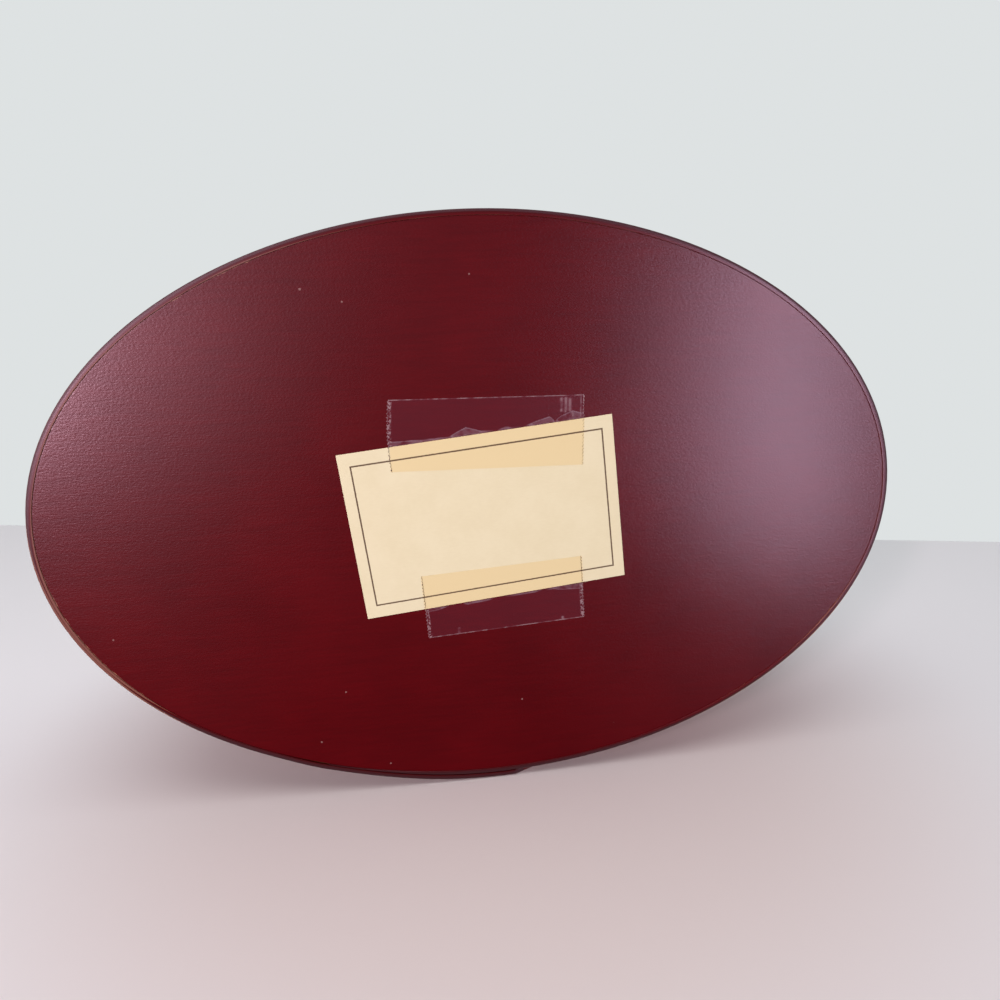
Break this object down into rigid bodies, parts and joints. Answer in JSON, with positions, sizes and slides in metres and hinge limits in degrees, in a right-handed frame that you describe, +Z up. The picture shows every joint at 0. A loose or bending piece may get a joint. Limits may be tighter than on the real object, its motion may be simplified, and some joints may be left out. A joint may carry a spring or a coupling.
{
  "type": "oval lidded box",
  "caption": "Oval bent-wood box with lapped side and lid bands, swallowtail fingers, copper tacks and a lift-off lid, painted dark red.",
  "frame": {"origin": "at floor level, in the middle of the whole outline with the lid on", "axes": "+Z up, out of the lid; +X along the oval's length; the bands lap at the front, -Y, with their fingers pointing to -X"},
  "size_m": [0.2378, 0.1672, 0.0965],
  "materials": {
    "painted_board": "satin dark red paint under oil, over wood",
    "painted_band": "satin dark red paint, worn to bare wood on the edges",
    "copper": "dulled copper",
    "card": "matte cream card",
    "clear_tape": "clear yellowed tape"
  },
  "bodies": {
    "box": {"bottom_board": "painted_board", "side_band": "painted_band", "side_tacks": "copper", "bottom_pegs": "painted_band", "label_card": "card", "label_tape_upper": "clear_tape", "label_tape_lower": "clear_tape"},
    "lid": {"lid_board": "painted_board", "lid_band": "painted_band", "lid_tacks": "copper", "lid_pegs": "painted_band"}
  },
  "joints": [
    {"name": "lid_lift", "type": "slide", "parent": "box", "child": "lid", "axis": [0, 0, 1], "range_m": [0, 0.06]}
  ]
}
